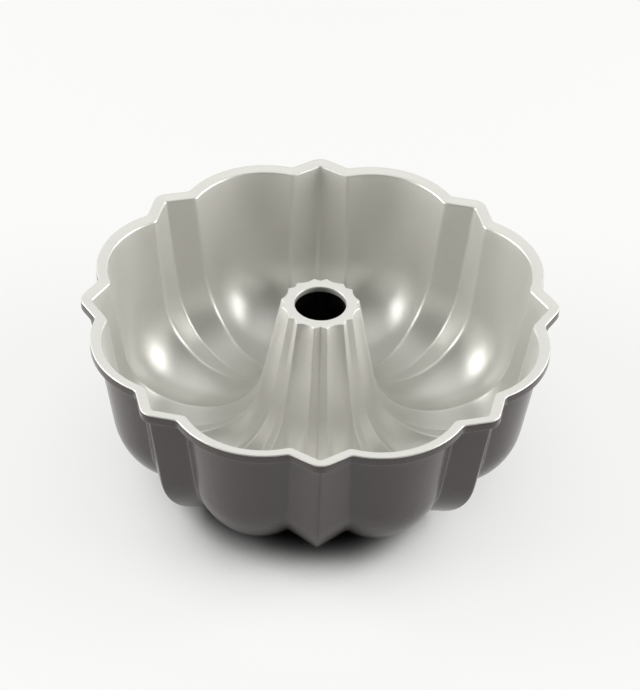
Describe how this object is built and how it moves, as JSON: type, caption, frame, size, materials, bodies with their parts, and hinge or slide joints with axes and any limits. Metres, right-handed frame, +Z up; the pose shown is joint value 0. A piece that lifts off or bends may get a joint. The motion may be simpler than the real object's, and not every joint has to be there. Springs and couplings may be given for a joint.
{
  "type": "fluted tube pan",
  "caption": "Cast fluted tube pan: pointed flutes and round lobes run from a narrow rim down the wall, over the floor and up a hollow centre tube; it bakes ring cakes.",
  "frame": {"origin": "point of the standing plane on the axis of the centre tube", "axes": "+Z up along the tube's axis, with a pointed flute on -Y"},
  "size_m": [0.2666, 0.2666, 0.0972],
  "materials": {
    "cast_aluminium": "satin",
    "silver_release_coat": "satin",
    "dark_outer_coat": "satin"
  },
  "bodies": {
    "root": {"pan_casting": "cast_aluminium", "inner_release_coat": "silver_release_coat", "outer_coat": "dark_outer_coat"}
  },
  "joints": []
}
